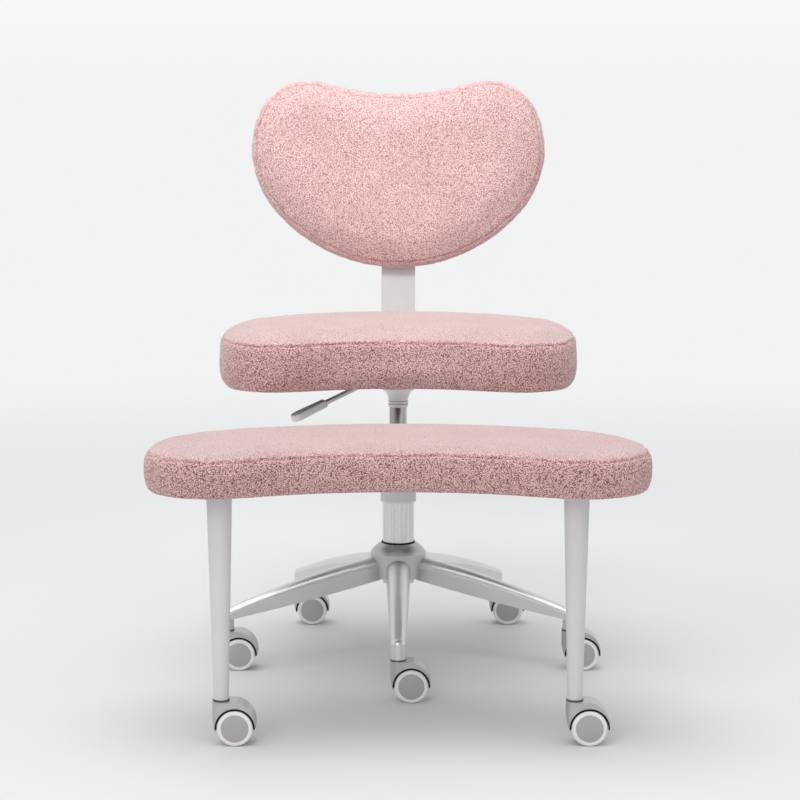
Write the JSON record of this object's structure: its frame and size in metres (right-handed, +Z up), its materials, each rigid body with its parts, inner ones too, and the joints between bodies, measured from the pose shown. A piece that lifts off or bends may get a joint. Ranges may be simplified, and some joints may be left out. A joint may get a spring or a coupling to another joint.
{
  "type": "cross-legged office chair",
  "caption": "Swivel chair with a bean-shaped seat and backrest in curly fleece on a star base, and a wide padded footrest on legs that orbits the column.",
  "frame": {"origin": "on the floor at the column's axis", "axes": "+Z up, -Y towards the front of the chair where the footrest is, +X to the right seen from the front"},
  "size_m": [0.708, 0.8381, 0.9117],
  "materials": {
    "boucle": "pink curly fleece",
    "dust_cloth": "black non-woven cloth",
    "white_paint": "satin white",
    "base_metal": "satin polished",
    "chrome": "bright",
    "steel": "bright zinc",
    "white_plastic": "matte",
    "hood_silver": "satin nickel",
    "wheel_plastic": "satin",
    "grip_plastic": "satin light grey",
    "board": "plywood"
  },
  "bodies": {
    "base": {"star_base": "base_metal", "base_caster_stems": "steel", "column_tube": "white_paint", "column_bush": "white_plastic", "thrust_bearing": "steel"},
    "rod": {"piston_rod": "steel", "rod_clip": "steel"},
    "seat": {"gas_cylinder": "chrome", "seat_pan": "white_paint", "lever_pin": "steel", "seat_board": "board", "seat_cushion": "boucle", "seat_dust_cover": "dust_cloth", "seat_bolts": "steel", "back_bar": "white_paint", "backrest_board": "board", "backrest_cushion": "boucle", "backrest_rear_panel": "boucle"},
    "button": {"release_button": "steel"},
    "lever": {"lever_rod": "white_paint", "lever_grip": "grip_plastic"},
    "footrest": {"footrest_collar": "white_paint", "collar_bushes": "white_plastic", "footrest_arm": "white_paint", "footrest_frame": "white_paint", "footrest_board": "board", "footrest_cushion": "boucle", "footrest_dust_cover": "dust_cloth", "leg_left": "white_paint", "leg_right": "white_paint", "footrest_caster_stems": "steel", "footrest_bolts": "steel"},
    "caster_base_front": {"hood_base_front": "hood_silver", "axle_base_front": "steel"},
    "wheel_near_base_front": {"wheel_near_base_front": "wheel_plastic"},
    "wheel_far_base_front": {"wheel_far_base_front": "wheel_plastic"},
    "caster_base_front_right": {"hood_base_front_right": "hood_silver", "axle_base_front_right": "steel"},
    "wheel_near_base_front_right": {"wheel_near_base_front_right": "wheel_plastic"},
    "wheel_far_base_front_right": {"wheel_far_base_front_right": "wheel_plastic"},
    "caster_base_rear_right": {"hood_base_rear_right": "hood_silver", "axle_base_rear_right": "steel"},
    "wheel_near_base_rear_right": {"wheel_near_base_rear_right": "wheel_plastic"},
    "wheel_far_base_rear_right": {"wheel_far_base_rear_right": "wheel_plastic"},
    "caster_base_rear_left": {"hood_base_rear_left": "hood_silver", "axle_base_rear_left": "steel"},
    "wheel_near_base_rear_left": {"wheel_near_base_rear_left": "wheel_plastic"},
    "wheel_far_base_rear_left": {"wheel_far_base_rear_left": "wheel_plastic"},
    "caster_base_front_left": {"hood_base_front_left": "hood_silver", "axle_base_front_left": "steel"},
    "wheel_near_base_front_left": {"wheel_near_base_front_left": "wheel_plastic"},
    "wheel_far_base_front_left": {"wheel_far_base_front_left": "wheel_plastic"},
    "caster_footrest_left": {"hood_footrest_left": "hood_silver", "axle_footrest_left": "steel"},
    "wheel_near_footrest_left": {"wheel_near_footrest_left": "wheel_plastic"},
    "wheel_far_footrest_left": {"wheel_far_footrest_left": "wheel_plastic"},
    "caster_footrest_right": {"hood_footrest_right": "hood_silver", "axle_footrest_right": "steel"},
    "wheel_near_footrest_right": {"wheel_near_footrest_right": "wheel_plastic"},
    "wheel_far_footrest_right": {"wheel_far_footrest_right": "wheel_plastic"}
  },
  "joints": [
    {"name": "seat_swivel", "type": "hinge", "parent": "base", "child": "rod", "pos_m": [0, 0, 0.128], "axis": [0, 0, 1], "continuous": true},
    {"name": "seat_height", "type": "slide", "parent": "rod", "child": "seat", "axis": [0, 0, 1], "range_m": [-0.03, 0.05]},
    {"name": "lever_pull", "type": "hinge", "parent": "seat", "child": "lever", "pos_m": [-0.0204, -0.00824, 0.4419], "axis": [-0.3746, 0.9272, 0], "range_deg": [0, 5]},
    {"name": "release_press", "type": "slide", "parent": "seat", "child": "button", "axis": [0, 0, -1], "range_m": [0, 0.0022]},
    {"name": "footrest_orbit", "type": "hinge", "parent": "base", "child": "footrest", "pos_m": [0, 0, 0.3], "axis": [0, 0, 1], "continuous": true},
    {"name": "swivel_base_front", "type": "hinge", "parent": "base", "child": "caster_base_front", "pos_m": [0, -0.281, 0.055], "axis": [0, 0, 1], "continuous": true},
    {"name": "roll_near_base_front", "type": "hinge", "parent": "caster_base_front", "child": "wheel_near_base_front", "pos_m": [0.0195, -0.2935, 0.025], "axis": [0, 1, 0], "continuous": true},
    {"name": "roll_far_base_front", "type": "hinge", "parent": "caster_base_front", "child": "wheel_far_base_front", "pos_m": [0.0195, -0.2685, 0.025], "axis": [0, 1, 0], "continuous": true},
    {"name": "swivel_base_front_right", "type": "hinge", "parent": "base", "child": "caster_base_front_right", "pos_m": [0.26725, -0.08683, 0.055], "axis": [0, 0, 1], "continuous": true},
    {"name": "roll_near_base_front_right", "type": "hinge", "parent": "caster_base_front_right", "child": "wheel_near_base_front_right", "pos_m": [0.28675, -0.09933, 0.025], "axis": [0, 1, 0], "continuous": true},
    {"name": "roll_far_base_front_right", "type": "hinge", "parent": "caster_base_front_right", "child": "wheel_far_base_front_right", "pos_m": [0.28675, -0.07433, 0.025], "axis": [0, 1, 0], "continuous": true},
    {"name": "swivel_base_rear_right", "type": "hinge", "parent": "base", "child": "caster_base_rear_right", "pos_m": [0.16517, 0.22733, 0.055], "axis": [0, 0, 1], "continuous": true},
    {"name": "roll_near_base_rear_right", "type": "hinge", "parent": "caster_base_rear_right", "child": "wheel_near_base_rear_right", "pos_m": [0.18467, 0.21483, 0.025], "axis": [0, 1, 0], "continuous": true},
    {"name": "roll_far_base_rear_right", "type": "hinge", "parent": "caster_base_rear_right", "child": "wheel_far_base_rear_right", "pos_m": [0.18467, 0.23983, 0.025], "axis": [0, 1, 0], "continuous": true},
    {"name": "swivel_base_rear_left", "type": "hinge", "parent": "base", "child": "caster_base_rear_left", "pos_m": [-0.16517, 0.22733, 0.055], "axis": [0, 0, 1], "continuous": true},
    {"name": "roll_near_base_rear_left", "type": "hinge", "parent": "caster_base_rear_left", "child": "wheel_near_base_rear_left", "pos_m": [-0.14567, 0.21483, 0.025], "axis": [0, 1, 0], "continuous": true},
    {"name": "roll_far_base_rear_left", "type": "hinge", "parent": "caster_base_rear_left", "child": "wheel_far_base_rear_left", "pos_m": [-0.14567, 0.23983, 0.025], "axis": [0, 1, 0], "continuous": true},
    {"name": "swivel_base_front_left", "type": "hinge", "parent": "base", "child": "caster_base_front_left", "pos_m": [-0.26725, -0.08683, 0.055], "axis": [0, 0, 1], "continuous": true},
    {"name": "roll_near_base_front_left", "type": "hinge", "parent": "caster_base_front_left", "child": "wheel_near_base_front_left", "pos_m": [-0.24775, -0.09933, 0.025], "axis": [0, 1, 0], "continuous": true},
    {"name": "roll_far_base_front_left", "type": "hinge", "parent": "caster_base_front_left", "child": "wheel_far_base_front_left", "pos_m": [-0.24775, -0.07433, 0.025], "axis": [0, 1, 0], "continuous": true},
    {"name": "swivel_footrest_left", "type": "hinge", "parent": "footrest", "child": "caster_footrest_left", "pos_m": [-0.244, -0.507, 0.055], "axis": [0, 0, 1], "continuous": true},
    {"name": "roll_near_footrest_left", "type": "hinge", "parent": "caster_footrest_left", "child": "wheel_near_footrest_left", "pos_m": [-0.2245, -0.5195, 0.025], "axis": [0, 1, 0], "continuous": true},
    {"name": "roll_far_footrest_left", "type": "hinge", "parent": "caster_footrest_left", "child": "wheel_far_footrest_left", "pos_m": [-0.2245, -0.4945, 0.025], "axis": [0, 1, 0], "continuous": true},
    {"name": "swivel_footrest_right", "type": "hinge", "parent": "footrest", "child": "caster_footrest_right", "pos_m": [0.244, -0.507, 0.055], "axis": [0, 0, 1], "continuous": true},
    {"name": "roll_near_footrest_right", "type": "hinge", "parent": "caster_footrest_right", "child": "wheel_near_footrest_right", "pos_m": [0.2635, -0.5195, 0.025], "axis": [0, 1, 0], "continuous": true},
    {"name": "roll_far_footrest_right", "type": "hinge", "parent": "caster_footrest_right", "child": "wheel_far_footrest_right", "pos_m": [0.2635, -0.4945, 0.025], "axis": [0, 1, 0], "continuous": true}
  ],
  "couplings": [
    {"joint": "release_press", "follows": "lever_pull", "m_per_rad": 0.024733}
  ]
}
